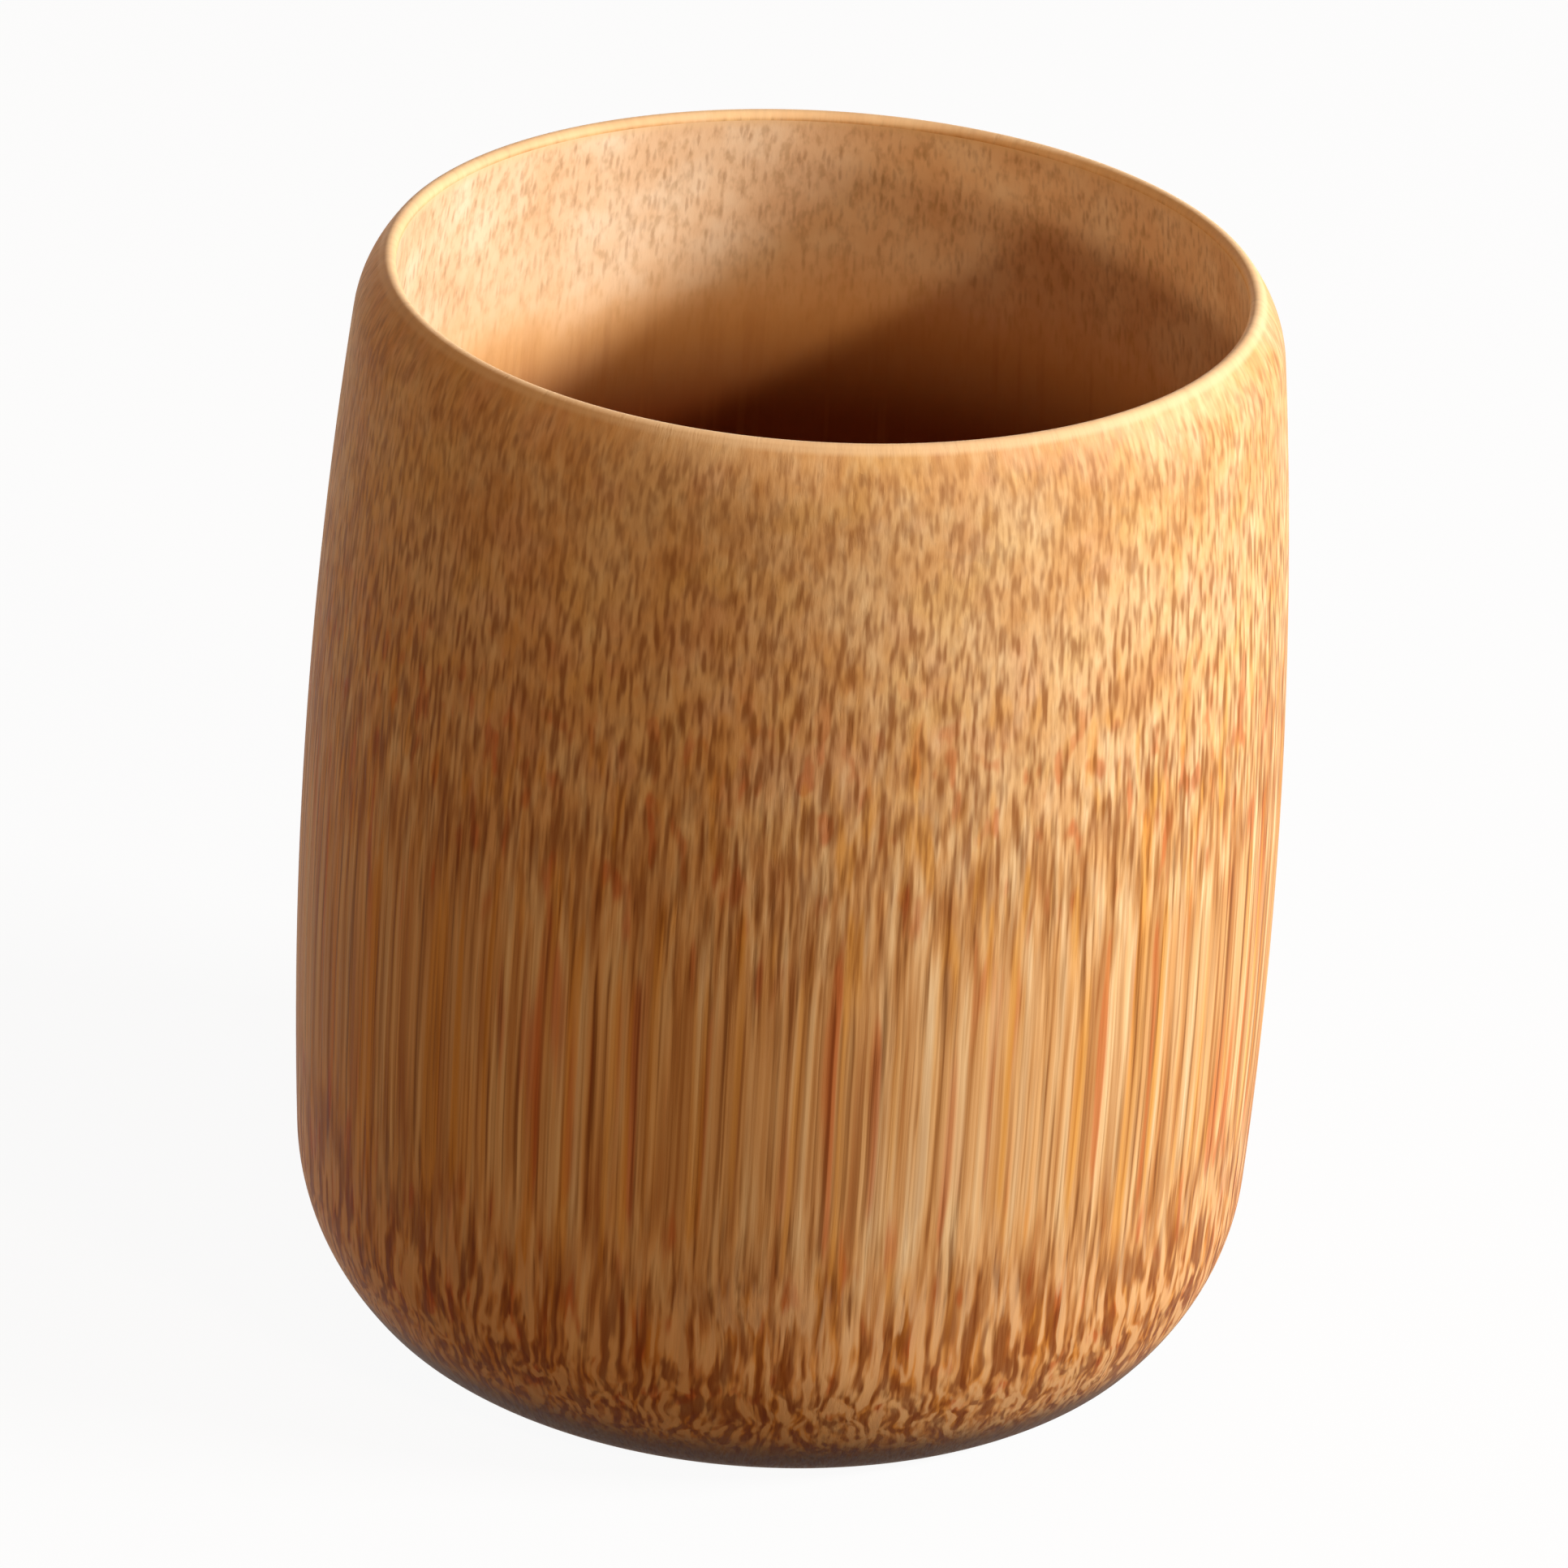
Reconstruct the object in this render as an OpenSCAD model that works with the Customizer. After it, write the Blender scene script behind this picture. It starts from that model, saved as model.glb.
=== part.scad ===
// Bamboo cup: one length of thick-walled culm, turned on a lathe and closed by its own node.
// The origin is the middle of the foot on the table, +Z points up, and all lengths are in millimetres.

/* [Cup] */
// Height from the table to the top of the rim
cup_h = 84.8; // [65:0.1:110]
// Radius at the belly, where the cup is widest
belly_r = 37.5; // [30:0.1:48]
// Height of the belly above the table
belly_z = 31; // [22:0.1:42]
// Radius of the long curve of the side
barrel_r = 415; // [260:1:900]
// Thickness of the turned wall
wall_t = 2.5; // [1.9:0.05:4.5]

/* [Rim] */
// Radius of the full round along the top of the rim
rim_r = 0.6; // [0.4:0.05:0.9]
// Radius of the curve that draws the lip inwards
lip_r = 9; // [4:0.1:16]

/* [Foot] */
// Radius of the heel, the curve that runs in under the belly
heel_r = 18; // [10:0.1:24]
// Slope of the side where the heel ends, in degrees from upright
heel_slope = 39.6; // [20:0.5:65]
// Radius of the tighter curve between the heel and the table
foot_edge_r = 4.3; // [1.5:0.1:8]
// Height of the hollow inside the foot ring, at the ring
hollow_h = 2.5; // [1:0.05:4]
// Further rise of the hollow at its middle
hollow_rise = 0.8; // [0.3:0.05:1.5]
// Radius of the rounded inner edge of the foot ring
ring_edge_r = 0.6; // [0.3:0.05:0.9]

/* [Node] */
// Thickness of the node at its middle
node_t = 3.5; // [2.5:0.05:6]
// Radius of the dished floor
dish_r = 150; // [110:1:400]
// Radius of the curve between the wall and the floor
cove_r = 12; // [7:0.1:16]
// How far inside the end of that curve the edge of the node lies
node_inset = 0.8; // [0.2:0.05:2]
// Width of the ledge that the node rests on
ledge_w = 1.5; // [0.8:0.05:3]
// Thickness of the ledge
ledge_t = 1.4; // [0.8:0.05:2]

/* [Lacquer] */
// Thickness of the lacquer film inside the cup
film_t = 0.2; // [0.1:0.01:0.35]

/* [Hidden] */
$fn = 180;
// Largest distance between a curve and the straight steps that draw it
curve_gap = 0.004;
// Fewest steps on any curve
least_steps = 4;

// Points along an arc, from one angle to another
function arc(centre, r, from, to) =
    let (steps = max(least_steps, ceil(abs(to - from) / (2 * acos(1 - curve_gap / r)))))
    [for (i = [0:steps]) let (a = from + (to - from) * i / steps) centre + r * [cos(a), sin(a)]];

// Where two circles cross, on the right hand when looking from the first centre to the second
function crossing(a, ra, b, rb) =
    let (d = norm(b - a), u = (b - a) / d, along = (d * d + ra * ra - rb * rb) / (2 * d))
    a + along * u + sqrt(ra * ra - along * along) * [u.y, -u.x];

// Direction from one point to another, in degrees
function bearing(a, b) = atan2(b.y - a.y, b.x - a.x);

// The curves of the profile touch each other without a corner, so each centre follows from its neighbours.
// Side: one long arc through the belly
side = [belly_r - barrel_r, belly_z];

// Heel and foot edge: the heel leaves the side where both arcs together just reach the table
heel_drop = heel_r * sin(heel_slope) + foot_edge_r * (1 - sin(heel_slope));
heel_z = (heel_drop - heel_r * belly_z / barrel_r) / (1 - heel_r / barrel_r);
heel_a = -asin((belly_z - heel_z) / barrel_r);
heel = side + (barrel_r - heel_r) * [cos(heel_a), sin(heel_a)];
foot_edge = heel + (heel_r - foot_edge_r) * [cos(heel_slope), -sin(heel_slope)];

// Rim: a full round that touches the inner side, and a lip arc from it to the outer side
bore_r = barrel_r - wall_t;
rim_z = cup_h - rim_r;
rim = [side.x + sqrt(pow(bore_r + rim_r, 2) - pow(rim_z - side.y, 2)), rim_z];
mouth_a = bearing(side, rim);
lip = crossing(side, barrel_r - lip_r, rim, lip_r - rim_r);
lip_a = bearing(side, lip);

// Floor: a shallow dish, with a cove up to the wall
floor_z = hollow_h + hollow_rise + node_t + film_t;
dish = [0, floor_z + dish_r];
cove = crossing(side, bore_r - cove_r, dish, dish_r - cove_r);
cove_a = bearing(side, cove);
dish_a = bearing(dish, cove);

// Seat of the node in the wall, under the lacquer
node_r = (dish_r + film_t) * cos(dish_a) - node_inset;
seat_a = -acos(node_r / (dish_r + film_t));
hollow_r = node_r - ledge_w;
ledge_z = hollow_h + ledge_t;

// Underside of the node: a flat dome that springs from the foot ring
dome_r = (hollow_r * hollow_r + hollow_rise * hollow_rise) / (2 * hollow_rise);
dome = [0, hollow_h + hollow_rise - dome_r];

// Outside of the cup, from the table over the rim to the inner side
function outside() = concat(
    arc(foot_edge, foot_edge_r, -90, -heel_slope),
    arc(heel, heel_r, -heel_slope, heel_a),
    arc(side, barrel_r, heel_a, lip_a),
    arc(lip, lip_r, lip_a, bearing(lip, rim)),
    arc(rim, rim_r, bearing(lip, rim), mouth_a + 180)
);

// Inside of the cup at a depth under the surface of the lacquer, from the mouth to the end of the cove
function inner_side(depth) = concat(
    arc(side, bore_r + depth, mouth_a, cove_a),
    arc(cove, cove_r + depth, cove_a, dish_a)
);

// Floor at the same depth, out to the edge of the node
function floor_to_seat(depth) = arc(dish, dish_r + depth, dish_a, seat_a);

function backwards(points) = [for (i = [len(points) - 1:-1:0]) points[i]];

// The turned length of culm: side, rim, foot ring and the ledge for the node
module culm_wall() {
    color([0.76, 0.5, 0.26])
        rotate_extrude()
            polygon(concat(
                outside(),
                inner_side(film_t),
                floor_to_seat(film_t),
                [[node_r, ledge_z], [hollow_r, ledge_z]],
                arc([hollow_r + ring_edge_r, ring_edge_r], ring_edge_r, 180, 270)
            ));
}

// The node that grows across the culm and closes it
module node_diaphragm() {
    color([0.87, 0.68, 0.42])
        rotate_extrude()
            polygon(concat(
                arc(dish, dish_r + film_t, seat_a, -90),
                arc(dome, dome_r, 90, acos(hollow_r / dome_r)),
                [[hollow_r, ledge_z], [node_r, ledge_z]]
            ));
}

// The clear film that seals the cut fibres of wall and floor
module inner_lacquer() {
    color([0.93, 0.76, 0.5])
        rotate_extrude()
            polygon(concat(
                inner_side(0),
                arc(dish, dish_r, dish_a, -90),
                backwards(arc(dish, dish_r + film_t, dish_a, -90)),
                backwards(inner_side(film_t))
            ));
}

culm_wall();
node_diaphragm();
inner_lacquer();
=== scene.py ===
import math

import bpy
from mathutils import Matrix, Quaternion, Vector


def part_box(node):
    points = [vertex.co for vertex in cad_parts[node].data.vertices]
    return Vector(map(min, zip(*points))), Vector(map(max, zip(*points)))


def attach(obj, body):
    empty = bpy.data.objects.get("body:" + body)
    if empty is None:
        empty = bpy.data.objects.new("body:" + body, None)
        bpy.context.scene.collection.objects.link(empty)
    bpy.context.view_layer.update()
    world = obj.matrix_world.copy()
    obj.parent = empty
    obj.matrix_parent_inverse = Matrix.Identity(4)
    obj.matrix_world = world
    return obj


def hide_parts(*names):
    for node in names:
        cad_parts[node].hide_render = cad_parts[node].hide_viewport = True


# Bamboo cup, turned from one length of culm: the side, its own node as the floor, lacquer inside.
# Metres in the CAD frame: z up, the axis at x = y = 0, the foot stands on z = 0.

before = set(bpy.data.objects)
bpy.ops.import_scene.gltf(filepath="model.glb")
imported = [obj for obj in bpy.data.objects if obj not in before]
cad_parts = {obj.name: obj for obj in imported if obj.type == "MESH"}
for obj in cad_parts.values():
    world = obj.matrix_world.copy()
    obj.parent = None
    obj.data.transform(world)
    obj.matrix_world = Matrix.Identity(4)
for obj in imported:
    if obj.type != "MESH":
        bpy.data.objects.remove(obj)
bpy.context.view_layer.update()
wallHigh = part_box("culm_wall")[1]
nodeLow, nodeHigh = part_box("node_diaphragm")
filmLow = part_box("inner_lacquer")[0]
mm = 0.001
print("frame loaded:", sorted(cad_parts))


# drawing the section with arcs: a point is (distance from the axis, height)
drawing = {
    "gap": 0.002 * mm,         # a curve's facets stay this near the true curve
    "widestStep": 9,           # degrees, for the small round edges
    "fewestSteps": 4,          # facets in an arc, however short
    "shortest": 0.01 * mm,     # points nearer than this are one point
    "weld": 0.001 * mm,
    "turns": 256,              # facets round the cup
    "sharpFrom": 35,           # degrees, edges sharper than this aren't smoothed
}


def bearing(start, end):
    return math.atan2(end[1] - start[1], end[0] - start[0])


def onCircle(centre, radius, angle):
    return (centre[0] + radius * math.cos(angle), centre[1] + radius * math.sin(angle))


def crossing(a, radiusA, b, radiusB):
    # where two circles meet, on the right of the line from a to b
    apart = math.dist(a, b)
    ux, uy = (b[0] - a[0]) / apart, (b[1] - a[1]) / apart
    along = (apart ** 2 + radiusA ** 2 - radiusB ** 2) / (2 * apart)
    off = math.sqrt(radiusA ** 2 - along ** 2)
    return (a[0] + along * ux + off * uy, a[1] + along * uy - off * ux)


def arc(centre, radius, start, end):
    turn = abs(end - start)
    steps = math.ceil(turn / (2 * math.acos(1 - drawing["gap"] / radius)))
    steps = max(drawing["fewestSteps"], steps, math.ceil(turn / math.radians(drawing["widestStep"])))
    return [onCircle(centre, radius, start + (end - start) * i / steps) for i in range(steps + 1)]


def turnOnLathe(name, section):
    # one point is drawn along the section, then spun once round the axis
    points = [section[0]]
    for point in section[1:]:
        if math.dist(point, points[-1]) > drawing["shortest"]:
            points.append(point)
    points.append(points[0])
    bpy.ops.object.select_all(action="DESELECT")
    bpy.ops.mesh.primitive_plane_add(size=mm, location=(0, 0, 0), enter_editmode=True)
    bpy.ops.mesh.select_mode(type="VERT")
    bpy.ops.mesh.merge(type="CENTER")
    bpy.ops.transform.translate(value=(points[0][0], 0, points[0][1]))
    for last, point in zip(points, points[1:]):
        step = (point[0] - last[0], 0, point[1] - last[1])
        bpy.ops.mesh.extrude_region_move(TRANSFORM_OT_translate={"value": step})
    bpy.ops.mesh.select_all(action="SELECT")
    bpy.ops.mesh.spin(steps=drawing["turns"], angle=2 * math.pi, center=(0, 0, 0), axis=(0, 0, 1))
    bpy.ops.mesh.select_all(action="SELECT")
    bpy.ops.mesh.remove_doubles(threshold=drawing["weld"])
    bpy.ops.mesh.normals_make_consistent(inside=False)
    bpy.ops.object.mode_set(mode="OBJECT")
    made = bpy.context.object
    made.name = name
    made.data.name = name
    bpy.ops.object.shade_smooth_by_angle(angle=math.radians(drawing["sharpFrom"]))
    print("turned", name, len(made.data.vertices), "points")
    return made


# material helpers
def tone(red, green, blue):
    # 0..255 as on a screen, made linear as the shaders want it
    def linear(value):
        value /= 255
        return value / 12.92 if value <= 0.04045 else ((value + 0.055) / 1.055) ** 2.4
    return (linear(red), linear(green), linear(blue), 1)


def put(tree, kind, sockets=None, **settings):
    made = tree.nodes.new("ShaderNode" + kind)
    for key, value in settings.items():
        setattr(made, key, value)
    for key, value in (sockets or {}).items():
        if isinstance(value, bpy.types.NodeSocket):
            tree.links.new(value, made.inputs[key])
        else:
            made.inputs[key].default_value = value
    return made


def calc(tree, operation, *values):
    return put(tree, "Math", dict(enumerate(values)), operation=operation).outputs[0]


def times(tree, *values):
    product = values[0]
    for value in values[1:]:
        product = calc(tree, "MULTIPLY", product, value)
    return product


def move(tree, operation, first, second):
    return put(tree, "VectorMath", {0: first, 1: second}, operation=operation).outputs[0]


def scaled(tree, place, amount):
    return put(tree, "VectorMath", {0: place, "Scale": amount}, operation="SCALE").outputs[0]


def fade(tree, value, start, end, low=0.0, high=1.0):
    # eases from low to high while value goes from start to end
    return put(tree, "MapRange", {0: value, 1: start, 2: end, 3: low, 4: high},
               interpolation_type="SMOOTHSTEP").outputs[0]


def stops(tree, value, look, name):
    # look[name] lists places along value, each with the name of its tone
    made = put(tree, "ValToRGB", {0: value})
    band = made.color_ramp.elements
    while len(band) < len(look[name]):
        band.new(0.5)
    for slot, (place, toneName) in zip(band, look[name]):
        slot.position = place
        slot.color = tone(*look[toneName])
    return made.outputs[0]


def paint(tree, under, over, amount, kind="MIX"):
    # over is a tone in 0..255 or a socket, laid on under by amount
    made = put(tree, "Mix", data_type="RGBA", blend_type=kind)
    if not isinstance(over, bpy.types.NodeSocket):
        over = tone(*over)
    for key, value in ((0, amount), (6, under), (7, over)):
        if isinstance(value, bpy.types.NodeSocket):
            tree.links.new(value, made.inputs[key])
        else:
            made.inputs[key].default_value = value
    return made.outputs[2]


def cloud(tree, place, scale, detail=2.0, rough=0.5):
    return put(tree, "TexNoise", {"Vector": place, "Scale": scale, "Detail": detail,
                                  "Roughness": rough}).outputs[0]


def drift(tree, place, scale):
    # a slow wandering of the pattern, about half a unit either way
    noise = put(tree, "TexNoise", {"Vector": place, "Scale": scale, "Detail": 1.0})
    return move(tree, "SUBTRACT", noise.outputs["Color"], (0.5, 0.5, 0.5))


def relief(tree, height, look):
    return put(tree, "Bump", {"Strength": look["bump"], "Distance": look["bumpDeep"],
                              "Height": height}).outputs[0]


def startMaterial(name):
    made = bpy.data.materials.new(name)
    made.use_nodes = True
    made.node_tree.nodes.clear()
    return made, made.node_tree


def finishMaterial(tree, sockets):
    shader = put(tree, "BsdfPrincipled", sockets)
    put(tree, "OutputMaterial", {"Surface": shader.outputs[0]})


# patterns that the pieces share, in mm
marks = {
    "ringWander": 1.2,         # how far a chisel ring strays
    "ringSlow": 0.25,          # how quickly it strays, per mm
    "dotUpright": 0.25,        # dots are drawn out four times upright
    "dotEdge": (0.44, 0.14),
    "dotStrength": (0.0, 0.7, 0.3),
}


def millimetres(tree):
    return move(tree, "MULTIPLY", put(tree, "TexCoord").outputs["Object"], (1000, 1000, 1000))


def fromAxis(tree, spot):
    flat = move(tree, "MULTIPLY", spot, (1, 1, 0))
    return put(tree, "VectorMath", {0: flat}, operation="LENGTH").outputs["Value"]


def fibrePlace(tree, look):
    # the culm's fibres stand upright and the lathe cuts them aslant, so a fibre's cut is longest
    # at the belly and grows shorter up and down, as the side leans away from the fibres
    spot = millimetres(tree)
    height = put(tree, "SeparateXYZ", {0: spot}).outputs[2]
    around = move(tree, "NORMALIZE", move(tree, "MULTIPLY", spot, (1, 1, 0)), (0, 0, 0))
    around = scaled(tree, around, look["radius"])
    away = calc(tree, "SUBTRACT", height, look["midHeight"])
    beyond = calc(tree, "SUBTRACT", calc(tree, "ABSOLUTE", away), look["calm"])
    beyond = calc(tree, "MAXIMUM", beyond, 0.0)
    quick = times(tree, beyond, beyond, calc(tree, "SIGN", away), look["quickening"])
    under = calc(tree, "MAXIMUM", calc(tree, "SUBTRACT", look["heelFrom"], height), 0.0)
    heelQuick = times(tree, under, under, look["heelQuickening"])
    along = calc(tree, "MULTIPLY_ADD", away, 1 / look["longest"], quick)
    along = calc(tree, "SUBTRACT", along, heelQuick)
    return {"spot": spot, "height": height, "around": around, "along": along}


def streakPlace(tree, at, across, often, shift):
    # across is the pattern's width in mm, often how many times it comes in one fibre's cut
    upward = calc(tree, "MULTIPLY_ADD", at["along"], often, shift)
    upward = put(tree, "CombineXYZ", {2: upward}).outputs[0]
    return move(tree, "ADD", scaled(tree, at["around"], 1 / across), upward)


def streak(tree, at, spec, nudge=None):
    across, often, shift, detail, rough = spec
    place = streakPlace(tree, at, across, often, shift)
    if nudge is not None:
        place = move(tree, "ADD", place, nudge)
    return cloud(tree, place, 1.0, detail, rough)


def dabs(tree, at, fibre, spec):
    # one dab to a cell, frayed by the fibre, some strong and some faint
    cells = put(tree, "TexVoronoi", {"Vector": streakPlace(tree, at, *spec["place"]), "Scale": 1.0})
    pick = put(tree, "SeparateColor", {0: cells.outputs["Color"]}).outputs[spec["channel"]]
    frayed = calc(tree, "MULTIPLY_ADD", calc(tree, "SUBTRACT", fibre, 0.5), spec["fray"],
                  cells.outputs["Distance"])
    return times(tree, fade(tree, frayed, *spec["edge"]), fade(tree, pick, *spec["strength"]))


def latheRings(tree, spot, out, apart):
    # faint rings left by the chisel, apart in mm, where out is the distance from the axis
    uneven = calc(tree, "MULTIPLY_ADD", cloud(tree, spot, marks["ringSlow"]), marks["ringWander"], out)
    wave = calc(tree, "SINE", times(tree, uneven, 2 * math.pi / apart))
    return calc(tree, "MULTIPLY_ADD", wave, 0.5, 0.5)


def cutFibres(tree, spot, apart):
    # fibre bundles cut square across show as dark dots
    place = move(tree, "MULTIPLY", spot, (1, 1, marks["dotUpright"]))
    dots = put(tree, "TexVoronoi", {"Vector": place, "Scale": 1 / apart})
    pick = put(tree, "SeparateColor", {0: dots.outputs["Color"]}).outputs[0]
    return times(tree, fade(tree, dots.outputs["Distance"], *marks["dotEdge"]),
                 fade(tree, pick, *marks["dotStrength"]))


def dressPiece(piece, node, material):
    piece.data.materials.clear()
    piece.data.materials.append(material)
    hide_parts(node)
    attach(piece, "root")
    print("finished", piece.name)


# the turned side: lip, barrel, heel, foot ring and the ledge that the node sits on
culm = {
    "high": wallHigh.z,
    "bellyR": wallHigh.x,
    "bellyZ": 31 * mm,         # height of the widest ring
    "barrelR": 415 * mm,       # long curve of the side
    "wall": 2.5 * mm,
    "rimR": 0.6 * mm,
    "lipR": 9 * mm,            # the side draws in to the lip over this curve
    "heelR": 18 * mm,
    "heelSlope": 39.6,         # degrees under level where heel and foot edge meet
    "footEdgeR": 4.3 * mm,
    "ringEdgeR": 0.6 * mm,     # inner edge of the standing ring
    "ledge": 1.5 * mm,         # the node sits on this
    "ledgeHigh": 1.4 * mm,
    "coveR": 12 * mm,          # inside, between the bore and the floor
    "dishR": 150 * mm,         # the floor is slightly dished
    "film": 0.2 * mm,          # room for the lacquer
    # how the lathe cuts the fibres, in mm
    "midHeight": 34.0,
    "calm": 6.0,               # either side of midHeight the streaks stay long
    "longest": 40.0,
    "quickening": 0.0062,
    "heelFrom": 12.0,
    "heelQuickening": 0.03,
    "radius": 36.0,
    # streaks: width in mm, times in one fibre's cut, shift, detail and roughness of the noise
    "wide": (1.0, 0.9, 0.0, 2.0, 0.5),
    "thin": (0.42, 1.1, 11.3, 2.0, 0.5),
    "fibre": (0.17, 2.2, 5.7, 3.0, 0.6),
    "tint": (1.3, 1.2, 23.1, 1.0, 0.5),
    "goldTint": (1.3, 0.7, 41.9, 1.0, 0.5),
    "dash": (0.41, 1.2, 51.7, 0.8, 0.5),
    "drop": (0.72, 0.9, 31.7, 1.0, 0.5),
    "bundle": {"place": (0.85, 0.8, 3.1), "channel": 1, "fray": 0.5,
               "edge": (0.44, 0.02), "strength": (0.0, 0.8, 0.15)},
    # clouds: spots per mm, detail, roughness
    "patch": (0.13, 3.0, 0.6),
    "patchShift": (0, 0, 57),
    "yellowPatch": (0.17, 1.0),
    "pinkPatch": (0.21, 1.0),
    "strayPerMm": (0.16, 0.16, 0.08),
    "curlPerMm": 0.34,
    # zones up the side: from and to in mm, then the amount before and after
    "strayZone": (21.0, 6.0, 0.25, 2.4),
    "bellyZone": (66.0, 48.0, 0.3, 0.92),
    "stripTop": (74.0, 56.0),
    "stripFoot": (4.0, 9.0),
    "goldenZone": (74.0, 52.0, 0.15, 0.66),
    "thinZone": (48.0, 66.0, 0.95, 0.22),
    "fibreZone": (48.0, 66.0, 0.6, 0.2),
    "dashFoot": (42.0, 56.0, 0.2, 0.8),
    "dashTop": (64.0, 80.0, 1.0, 0.64),
    "dashEnd": (84.3, 82.4),
    "curlZone": (16.0, 5.0, 0.0, 3.4),
    "heelTop": (23.0, 13.0),
    "heelFoot": (2.0, 4.5),
    "brownZone": (26.0, 10.0),
    # footZone: where the foot's painted shade lies
    "footZone": (6.0, 2.2, 0.0, 0.85),
    # lipZone: where the pale rim band lies, partly a painted highlight
    "lipZone": (84.05, 84.45, 0.0, 0.65),
    "ringZone": (1.3, 0.3),
    # where in its pattern a tone comes in, then the amount before and after
    "yellowCut": (0.52, 0.68, 0.0, 0.35),
    "pinkCut": (0.47, 0.33, 0.0, 0.3),
    "rustCut": (0.56, 0.72, 0.0, 0.66),
    "greyCut": (0.40, 0.30, 0.0, 0.3),
    "goldenCut": (0.54, 0.70),
    "dashCut": (0.61, 0.27),
    "gapCut": (0.52, 0.36, 0.0, 0.72),
    "dropCut": (0.50, 0.62, 0.0, 0.7),
    "bundleShare": 0.34,
    # tones
    "brown": (182, 118, 62),
    "tan": (212, 156, 96),
    "base": (231, 180, 121),
    "pale": (242, 203, 150),
    "cream": (252, 226, 182),
    "rust": (204, 104, 50),
    "golden": (230, 164, 74),
    "yellow": (246, 204, 128),
    "pink": (234, 178, 144),
    "greyTan": (200, 160, 116),
    "dashTone": (144, 84, 36),
    "bundleTone": (140, 84, 42),
    "dropTone": (246, 211, 166),
    "gapTone": (128, 68, 28),
    # painted shade: the dark band round the foot edge, where the side turns under away from the light
    "footTone": (54, 25, 10),
    # partly painted highlight: the pale rim is the clean cut edge and also stands for the light along the
    # rim's round top
    "lipTone": (246, 209, 160),
    "patchTones": ((0.30, "tan"), (0.44, "base"), (0.60, "pale")),
    "streakTones": ((0.30, "brown"), (0.43, "tan"), (0.52, "base"), (0.64, "pale"), (0.84, "cream")),
    # shades that darken what is under them
    "clear": (255, 255, 255),
    "thinDeep": (172, 150, 128),
    "thinLight": (231, 221, 209),
    "fibreDeep": (226, 218, 210),
    "brownShade": (242, 220, 194),
    "thinShades": ((0.30, "thinDeep"), (0.43, "thinLight"), (0.53, "clear")),
    "fibreShades": ((0.3, "fibreDeep"), (0.5, "clear")),
    # standing ring
    "ringTone": (198, 142, 86),
    "ringLine": (150, 98, 54),
    "ringsApart": 0.55,
    "ringShare": 0.35,
    "dotsApart": 0.9,
    # surface
    "bump": 0.3,
    "bumpDeep": 0.05 * mm,
    "bundleSink": 0.6,         # bundles lie lower than the fibre by this share
    "roughness": (0.3, 0.7, 0.46, 0.6),
    "gloss": 0.08,
}

rightAngle = math.pi / 2
heelSlope = math.radians(culm["heelSlope"])
side = (culm["bellyR"] - culm["barrelR"], culm["bellyZ"])
heelDrop = culm["heelR"] * math.sin(heelSlope) + culm["footEdgeR"] * (1 - math.sin(heelSlope))
heelRatio = culm["heelR"] / culm["barrelR"]
heelZ = (heelDrop - heelRatio * culm["bellyZ"]) / (1 - heelRatio)
heelTop = -math.asin((culm["bellyZ"] - heelZ) / culm["barrelR"])
heel = onCircle(side, culm["barrelR"] - culm["heelR"], heelTop)
footEdge = onCircle(heel, culm["heelR"] - culm["footEdgeR"], -heelSlope)
boreR = culm["barrelR"] - culm["wall"]
rimZ = culm["high"] - culm["rimR"]
rim = (side[0] + math.sqrt((boreR + culm["rimR"]) ** 2 - (rimZ - side[1]) ** 2), rimZ)
mouthTop = bearing(side, rim)
lip = crossing(side, culm["barrelR"] - culm["lipR"], rim, culm["lipR"] - culm["rimR"])
lipTop = bearing(side, lip)
dish = (0, filmLow.z + culm["film"] + culm["dishR"])
cove = crossing(side, boreR - culm["coveR"], dish, culm["dishR"] - culm["coveR"])
coveTop = bearing(side, cove)
dishEdge = bearing(dish, cove)
underDishR = culm["dishR"] + culm["film"]
nodeR = nodeHigh.x
seatEdge = -math.acos(nodeR / underDishR)
hollowR = nodeR - culm["ledge"]
ledgeZ = nodeLow.z + culm["ledgeHigh"]


def insideLine(depth):
    # down the bore and round the cove, depth behind the lacquer's face
    return (arc(side, boreR + depth, mouthTop, coveTop)
            + arc(cove, culm["coveR"] + depth, coveTop, dishEdge))


outside = (arc(footEdge, culm["footEdgeR"], -rightAngle, -heelSlope)
           + arc(heel, culm["heelR"], -heelSlope, heelTop)
           + arc(side, culm["barrelR"], heelTop, lipTop)
           + arc(lip, culm["lipR"], lipTop, bearing(lip, rim))
           + arc(rim, culm["rimR"], bearing(lip, rim), mouthTop + math.pi))
ringEdge = (hollowR + culm["ringEdgeR"], culm["ringEdgeR"])
culmWall = turnOnLathe("turned_culm_wall", (
    outside + insideLine(culm["film"]) + arc(dish, underDishR, dishEdge, seatEdge)
    + [(nodeR, ledgeZ), (hollowR, ledgeZ)]
    + arc(ringEdge, culm["ringEdgeR"], math.pi, 3 * rightAngle)))


def strayedAround(tree, at, look):
    # the streaks wander a little, and more at the foot
    slow = move(tree, "MULTIPLY", at["spot"], look["strayPerMm"])
    loose = fade(tree, at["height"], *look["strayZone"])
    return move(tree, "ADD", at["around"], scaled(tree, drift(tree, slow, 1.0), loose))


def bambooGround(tree, at, look):
    # calm mottled wood by the lip, strong streaks at the belly
    patches = cloud(tree, move(tree, "ADD", at["spot"], look["patchShift"]), *look["patch"])
    colour = stops(tree, patches, look, "patchTones")
    for name in ("yellow", "pink"):
        patch = cloud(tree, at["spot"], *look[name + "Patch"])
        colour = paint(tree, colour, look[name], fade(tree, patch, *look[name + "Cut"]))
    streaks = stops(tree, streak(tree, at, look["wide"]), look, "streakTones")
    return paint(tree, colour, streaks, fade(tree, at["height"], *look["bellyZone"]))


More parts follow.
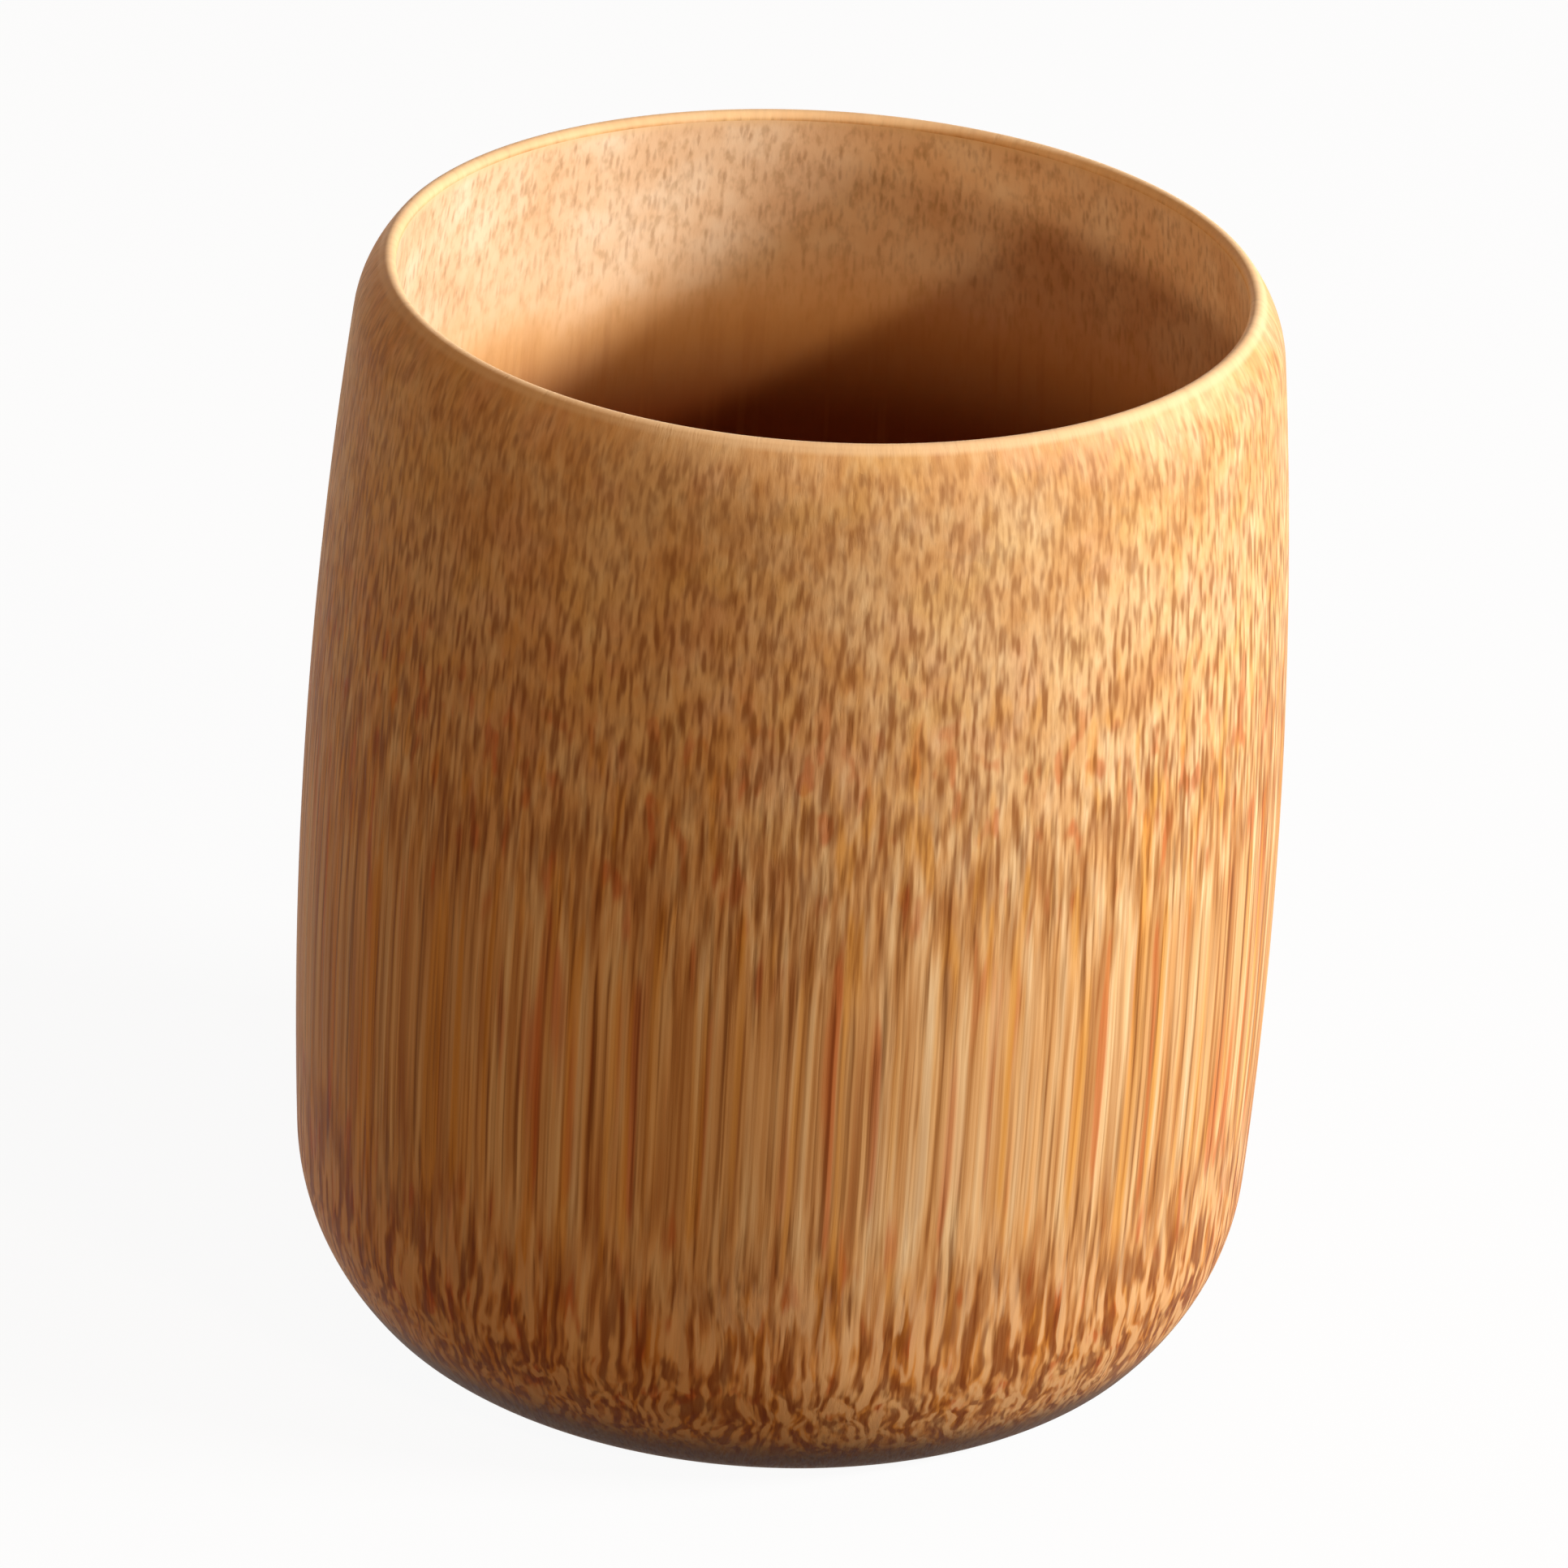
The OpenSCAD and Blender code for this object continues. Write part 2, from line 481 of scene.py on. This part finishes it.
def addStrips(tree, at, look, colour):
    # rust, grey and golden strips
    height = at["height"]
    tint = streak(tree, at, look["tint"])
    zone = times(tree, fade(tree, height, *look["stripTop"]), fade(tree, height, *look["stripFoot"]))
    colour = paint(tree, colour, look["rust"], times(tree, fade(tree, tint, *look["rustCut"]), zone))
    colour = paint(tree, colour, look["greyTan"], fade(tree, tint, *look["greyCut"]))
    golden = fade(tree, streak(tree, at, look["goldTint"]), *look["goldenCut"])
    golden = times(tree, golden, fade(tree, height, *look["goldenZone"]))
    return paint(tree, colour, look["golden"], golden)


def addDarkStreaks(tree, at, look, colour):
    # thin dark streaks, then flame-like dashes where the side leans in
    height = at["height"]
    thinShade = stops(tree, streak(tree, at, look["thin"]), look, "thinShades")
    colour = paint(tree, colour, thinShade, fade(tree, height, *look["thinZone"]), "MULTIPLY")
    dash = fade(tree, streak(tree, at, look["dash"]), *look["dashCut"])
    for zone in ("dashFoot", "dashTop", "dashEnd"):
        dash = times(tree, dash, fade(tree, height, *look[zone]))
    return paint(tree, colour, look["dashTone"], dash)


def addHeel(tree, at, look, colour):
    # the heel cuts across the fibres: pale drops in dark gaps, curled near the floor
    height = at["height"]
    curl = scaled(tree, drift(tree, at["spot"], look["curlPerMm"]), fade(tree, height, *look["curlZone"]))
    drops = streak(tree, at, look["drop"], curl)
    zone = times(tree, fade(tree, height, *look["heelTop"]), fade(tree, height, *look["heelFoot"]))
    for name in ("gap", "drop"):
        amount = times(tree, fade(tree, drops, *look[name + "Cut"]), zone)
        colour = paint(tree, colour, look[name + "Tone"], amount)
    return colour


def addEdges(tree, at, look, colour):
    # browner foot with a dark edge that is painted shade where the side turns under, and a pale clean edge
    # at the lip that is partly a painted highlight
    height = at["height"]
    colour = paint(tree, colour, look["brownShade"], fade(tree, height, *look["brownZone"]), "MULTIPLY")
    # the foot's dark band is painted shade, the lip's pale band partly a painted highlight
    for name in ("foot", "lip"):
        colour = paint(tree, colour, look[name + "Tone"], fade(tree, height, *look[name + "Zone"]))
    return colour


def ringGrain(tree, spot, look):
    # standing ring: end grain and chisel rings
    colour = paint(tree, tone(*look["ringTone"]), look["gapTone"], cutFibres(tree, spot, look["dotsApart"]))
    rings = latheRings(tree, spot, fromAxis(tree, spot), look["ringsApart"])
    return paint(tree, colour, look["ringLine"], times(tree, rings, look["ringShare"]))


def makeTurnedBamboo(look):
    material, tree = startMaterial("turned_bamboo")
    at = fibrePlace(tree, look)
    at["around"] = strayedAround(tree, at, look)
    height = at["height"]
    fibre = streak(tree, at, look["fibre"])
    bundle = dabs(tree, at, fibre, look["bundle"])

    colour = bambooGround(tree, at, look)
    colour = addStrips(tree, at, look, colour)
    colour = addDarkStreaks(tree, at, look, colour)
    colour = paint(tree, colour, look["bundleTone"], times(tree, bundle, look["bundleShare"]))
    fibreShade = stops(tree, fibre, look, "fibreShades")
    colour = paint(tree, colour, fibreShade, fade(tree, height, *look["fibreZone"]), "MULTIPLY")
    colour = addHeel(tree, at, look, colour)
    colour = addEdges(tree, at, look, colour)
    ring = ringGrain(tree, at["spot"], look)
    colour = paint(tree, colour, ring, fade(tree, height, *look["ringZone"]))

    uneven = calc(tree, "SUBTRACT", fibre, times(tree, bundle, look["bundleSink"]))
    finishMaterial(tree, {"Base Color": colour, "Roughness": fade(tree, fibre, *look["roughness"]),
                          "Normal": relief(tree, uneven, look), "Specular IOR Level": look["gloss"]})
    return material


dressPiece(culmWall, "culm_wall", makeTurnedBamboo(culm))


# the culm's own node, left bare under the cup
node = {
    "rise": 0.8 * mm,          # its underside is domed a little
    # crossed fibres, in mm
    "fibresPerMm": (0.35, 2.2, 0.4),
    "fibre": (1.0, 4.0, 0.6),  # scale, detail and roughness of the noise
    "swirl": 9.0,
    "swirlPerMm": 0.12,
    "dotsApart": 1.3,
    "dotShare": 0.55,
    "ringsApart": 0.8,
    "ringShare": 0.25,
    # pith in the middle and round the edge: from and to, out from the axis, then the amount
    "pithMiddle": (3.2, 0.8, 0.0, 0.55),
    "pithEdge": (19.0, 22.6, 0.0, 0.5),
    # tones
    "pale": (228, 184, 124),
    "mid": (212, 162, 102),
    "dark": (180, 126, 72),
    "dot": (122, 74, 36),
    "pith": (128, 82, 44),
    "fibreTones": ((0.3, "dark"), (0.48, "mid"), (0.68, "pale")),
    # surface
    "bump": 0.4,
    "bumpDeep": 0.1 * mm,
    "ringDeep": 0.5,           # of the fibre's own depth
    "roughness": (0.3, 0.7, 0.62, 0.8),
    "gloss": 0.2,
}

domeR = (hollowR ** 2 + node["rise"] ** 2) / (2 * node["rise"])
dome = (0, nodeLow.z + node["rise"] - domeR)
cupNode = turnOnLathe("turned_node", (
    arc(dish, underDishR, seatEdge, -rightAngle)
    + arc(dome, domeR, rightAngle, math.acos(hollowR / domeR))
    + [(hollowR, ledgeZ), (nodeR, ledgeZ)]))


def makeNodeBamboo(look):
    material, tree = startMaterial("node_bamboo")
    spot = millimetres(tree)
    out = fromAxis(tree, spot)
    loose = move(tree, "ADD", spot, scaled(tree, drift(tree, spot, look["swirlPerMm"]), look["swirl"]))
    fibre = cloud(tree, move(tree, "MULTIPLY", loose, look["fibresPerMm"]), *look["fibre"])
    rings = latheRings(tree, spot, out, look["ringsApart"])
    dots = cutFibres(tree, spot, look["dotsApart"])
    colour = stops(tree, fibre, look, "fibreTones")
    colour = paint(tree, colour, look["dot"], times(tree, dots, look["dotShare"]))
    colour = paint(tree, colour, look["dark"], times(tree, rings, look["ringShare"]))
    for zone in ("pithMiddle", "pithEdge"):
        colour = paint(tree, colour, look["pith"], fade(tree, out, *look[zone]))
    uneven = calc(tree, "MULTIPLY_ADD", rings, look["ringDeep"], fibre)
    finishMaterial(tree, {"Base Color": colour, "Roughness": fade(tree, fibre, *look["roughness"]),
                          "Normal": relief(tree, uneven, look), "Specular IOR Level": look["gloss"]})
    return material


dressPiece(cupNode, "node_diaphragm", makeNodeBamboo(node))


# clear lacquer inside, with the bore's cut fibres seen through it
lacquer = {
    # how the bore cuts the fibres, in mm
    "midHeight": 38.0,
    "calm": 2.0,
    "longest": 12.0,
    "quickening": 0.0075,
    "heelFrom": 12.0,
    "heelQuickening": 0.03,
    "radius": 32.0,
    # streaks: width in mm, times in one fibre's cut, shift, detail and roughness of the noise
    "fibre": (0.22, 2.0, 0.0, 3.0, 0.6),
    "blotch": (0.7, 1.1, 9.1, 2.0, 0.55),
    "stripe": (1.1, 1.0, 71.3, 2.0, 0.6),
    "stripePerMm": 0.02,       # stripes run upright, and hardly change over the height
    "speck": {"place": (0.47, 0.8, 0.0), "channel": 0, "fray": 0.6,
              "edge": (0.5, 0.08), "strength": (0.0, 0.7, 0.3)},
    "mottle": (0.14, 3.0, 0.6),
    # zones up the wall: from and to in mm, then the amount before and after
    "blotchZone": (62.0, 80.0, 0.4, 0.75),
    "speckZone": (60.0, 78.0, 0.25, 0.43),
    # zones of the painted shade inside the bore
    "goldenZone": (74.0, 65.0, 0.0, 0.85),
    "deepZone": (70.0, 57.0, 0.0, 0.95),
    # where the painted reflection streaks show
    "stripeZone": (72.0, 62.0),
    "stripeCut": (0.5, 0.7, 0.0, 0.3),
    # where the pale rim band, partly a painted highlight, comes over the lining's top edge
    "lipZone": (83.3, 84.2, 0.0, 0.8),
    "floorZone": (20.0, 9.0),
    # tones
    "cream": (245, 209, 168),
    "creamDark": (236, 193, 148),
    "creamPale": (252, 226, 192),
    "mottleTones": ((0.3, "creamDark"), (0.5, "cream"), (0.7, "creamPale")),
    "clear": (255, 255, 255),
    "blotchDeep": (220, 211, 200),
    "blotchLight": (249, 246, 243),
    "blotchShades": ((0.32, "blotchDeep"), (0.47, "blotchLight"), (0.56, "clear")),
    "speckTone": (168, 122, 86),
    # painted shade: golden band standing for the soft edge of the rim's shadow inside
    "golden": (232, 172, 104),
    "deep": (116, 48, 17),     # painted shade: low in the bore this dark brown stands for the shadow inside the cup; the floor's cut-fibre dots use it too
    # painted reflection: tone of the pale glossy streaks low in the bore
    "paintedShineTone": (164, 104, 62),
    # the floor, with the node's crossed fibres
    "weavePerMm": (0.3, 1.6, 0.3),
    "weave": (1.0, 4.0, 0.6),
    "floorDark": (142, 84, 44),
    "floorMid": (182, 122, 72),
    "floorPale": (210, 154, 98),
    "weaveTones": ((0.32, "floorDark"), (0.5, "floorMid"), (0.68, "floorPale")),
    "dotsApart": 1.2,
    "dotShare": 0.5,
    # surface
    "bump": 0.25,
    "bumpDeep": 0.04 * mm,
    "roughness": (0.3, 0.7, 0.5, 0.34),
    "gloss": 0.18,
    "coat": 0.16,
    "coatRoughness": 0.18,
}

lining = turnOnLathe("lacquer_lining", (
    insideLine(0) + arc(dish, culm["dishR"], dishEdge, -rightAngle)
    + arc(dish, underDishR, dishEdge, -rightAngle)[::-1]
    + insideLine(culm["film"])[::-1]))


def innerWall(tree, at, look, fibre):
    # pale specked wood by the mouth, then painted shade further down: a golden band for the shadow's soft
    # edge and dark brown for the shadow inside the cup
    height = at["height"]
    colour = stops(tree, cloud(tree, at["spot"], *look["mottle"]), look, "mottleTones")
    blotchShade = stops(tree, streak(tree, at, look["blotch"]), look, "blotchShades")
    colour = paint(tree, colour, blotchShade, fade(tree, height, *look["blotchZone"]), "MULTIPLY")
    speck = times(tree, dabs(tree, at, fibre, look["speck"]), fade(tree, height, *look["speckZone"]))
    colour = paint(tree, colour, look["speckTone"], speck)
    # the golden and dark brown bands are painted shade, standing for the rim's shadow in the bore
    for name in ("golden", "deep"):
        colour = paint(tree, colour, look[name], fade(tree, height, *look[name + "Zone"]))
    return colour


def cupFloor(tree, spot, look):
    # the floor shows the node's crossed fibres
    weave = cloud(tree, move(tree, "MULTIPLY", spot, look["weavePerMm"]), *look["weave"])
    dots = cutFibres(tree, spot, look["dotsApart"])
    return paint(tree, stops(tree, weave, look, "weaveTones"), look["deep"],
                 times(tree, dots, look["dotShare"]))


def makeLacquer(look):
    material, tree = startMaterial("clear_lacquer")
    at = fibrePlace(tree, look)
    height = at["height"]
    fibre = streak(tree, at, look["fibre"])
    colour = innerWall(tree, at, look, fibre)

    # upright stripes show low on the wall: painted reflection, paler streaks standing for the lacquer's
    # glossy streaks
    upright = dict(at, along=times(tree, height, look["stripePerMm"]))
    stripe = streak(tree, upright, look["stripe"])
    paintedShine = times(tree, fade(tree, stripe, *look["stripeCut"]), fade(tree, height, *look["stripeZone"]))
    colour = paint(tree, colour, look["paintedShineTone"], paintedShine)
    # the pale rim band on the lining's top, partly a painted highlight
    colour = paint(tree, colour, culm["lipTone"], fade(tree, height, *look["lipZone"]))
    floorColour = cupFloor(tree, at["spot"], look)
    colour = paint(tree, colour, floorColour, fade(tree, height, *look["floorZone"]))

    finishMaterial(tree, {"Base Color": colour, "Roughness": fade(tree, stripe, *look["roughness"]),
                          "Normal": relief(tree, fibre, look), "Specular IOR Level": look["gloss"],
                          "Coat Weight": look["coat"], "Coat Roughness": look["coatRoughness"]})
    return material


dressPiece(lining, "inner_lacquer", makeLacquer(lacquer))


# floor, backdrop and lamps
studio = {
    "floorWide": 6.0,
    "floorZ": -0.05 * mm,          # a hair under the foot
    "floorTone": (226, 224, 220),
    "floorBounce": (60, 46, 34),   # what light off the floor brings to the cup
    "floorWhite": 0.94,            # share of plain white that is seen in the floor
    "worldTone": (255, 158, 92),
    "worldLevel": 0.11,
    "lampAim": culm["high"] / 2,
    # azimuth 0 is the cup's right, -90 the side that the camera sees
    "key": {"azimuth": -8, "elevation": 26.5, "away": 0.9, "wide": 0.26, "tall": 0.04,
            "power": 10.9, "colour": (0.97, 1.0, 1.05)},
    "warm": {"azimuth": -44, "elevation": 26.5, "away": 0.9, "wide": 0.1, "tall": 0.04,
             "power": 2.6, "colour": (1.0, 0.78, 0.5)},
    "fill": {"azimuth": -151, "elevation": 8.5, "away": 1.1, "wide": 0.6, "tall": 0.05,
             "power": 2.5, "colour": (1.0, 0.71, 0.42)},
    "back": {"azimuth": 98, "elevation": 8, "away": 1.1, "wide": 0.9, "tall": 0.3,
             "power": 3.0, "colour": (1.0, 0.84, 0.64)},
}


def seenDirectly(tree):
    # 1 for what the camera, a mirror or a glass shows, 0 for what lights the cup
    path = put(tree, "LightPath").outputs
    mirrored = calc(tree, "MAXIMUM", path["Is Glossy Ray"], path["Is Transmission Ray"])
    return calc(tree, "MAXIMUM", path["Is Camera Ray"], mirrored)


bpy.ops.object.select_all(action="DESELECT")
bpy.ops.mesh.primitive_plane_add(size=studio["floorWide"], location=(0, 0, studio["floorZ"]))
floor = bpy.context.object
floor.name = "floor"
floorMaterial, floorTree = startMaterial("floor")
matt = put(floorTree, "BsdfDiffuse", {"Color": tone(*studio["floorTone"])})
white = put(floorTree, "Emission", {"Color": (1, 1, 1, 1), "Strength": 1.0})
bounce = put(floorTree, "BsdfDiffuse", {"Color": tone(*studio["floorBounce"])})
pale = put(floorTree, "MixShader", {0: studio["floorWhite"], 1: matt.outputs[0],
                                    2: white.outputs[0]})
mixed = put(floorTree, "MixShader", {0: seenDirectly(floorTree), 1: bounce.outputs[0],
                                     2: pale.outputs[0]})
put(floorTree, "OutputMaterial", {"Surface": mixed.outputs[0]})
floor.data.materials.append(floorMaterial)

world = bpy.data.worlds.new("studio")
bpy.context.scene.world = world
world.use_nodes = True
sky = world.node_tree
sky.nodes.clear()
dim = put(sky, "Background", {"Color": tone(*studio["worldTone"]), "Strength": studio["worldLevel"]})
backdrop = put(sky, "Background", {"Color": (1, 1, 1, 1), "Strength": 1.0})
both = put(sky, "MixShader", {0: seenDirectly(sky), 1: dim.outputs[0], 2: backdrop.outputs[0]})
put(sky, "OutputWorld", {"Surface": both.outputs[0]})


def hangLamp(name, spec):
    azimuth, elevation = math.radians(spec["azimuth"]), math.radians(spec["elevation"])
    direction = Vector((math.cos(azimuth) * math.cos(elevation),
                        math.sin(azimuth) * math.cos(elevation), math.sin(elevation)))
    aim = Vector((0, 0, studio["lampAim"]))
    bpy.ops.object.light_add(type="AREA", location=aim + direction * spec["away"])
    lamp = bpy.context.object
    lamp.name = name
    lamp.rotation_euler = direction.to_track_quat("Z", "Y").to_euler()
    lamp.data.shape = "RECTANGLE"
    lamp.data.size = spec["wide"]
    lamp.data.size_y = spec["tall"]
    lamp.data.energy = spec["power"]
    lamp.data.color = spec["colour"]


for lampName in ("key", "warm", "fill", "back"):
    hangLamp(lampName, studio[lampName])
print("lamps hung")


# camera
shot = {
    "elevation": 26.331,
    "roll": 3.479,             # the cup leans a little to the right in the picture
    "away": 0.55,
    "lens": 165.08,
    "sensor": 36,
    "clipFrom": 0.01,
    "aimX": -0.62 * mm,
    "aimZ": -0.27 * mm,
}
middle = Vector((0, 0, culm["high"] / 2))
tilt = math.radians(shot["elevation"])
cameraSpot = middle + shot["away"] * Vector((0, -math.cos(tilt), math.sin(tilt)))
cameraAim = middle + Vector((shot["aimX"], 0, shot["aimZ"]))
bpy.ops.object.camera_add(location=cameraSpot)
camera = bpy.context.object
camera.name = "camera"
camera.data.sensor_width = shot["sensor"]
camera.data.lens = shot["lens"]
camera.data.clip_start = shot["clipFrom"]
straight = (cameraAim - cameraSpot).to_track_quat("-Z", "Y")
camera.rotation_euler = (straight @ Quaternion((0, 0, 1), math.radians(shot["roll"]))).to_euler()
scene = bpy.context.scene
scene.camera = camera
scene.view_settings.view_transform = "Standard"
print("camera set")
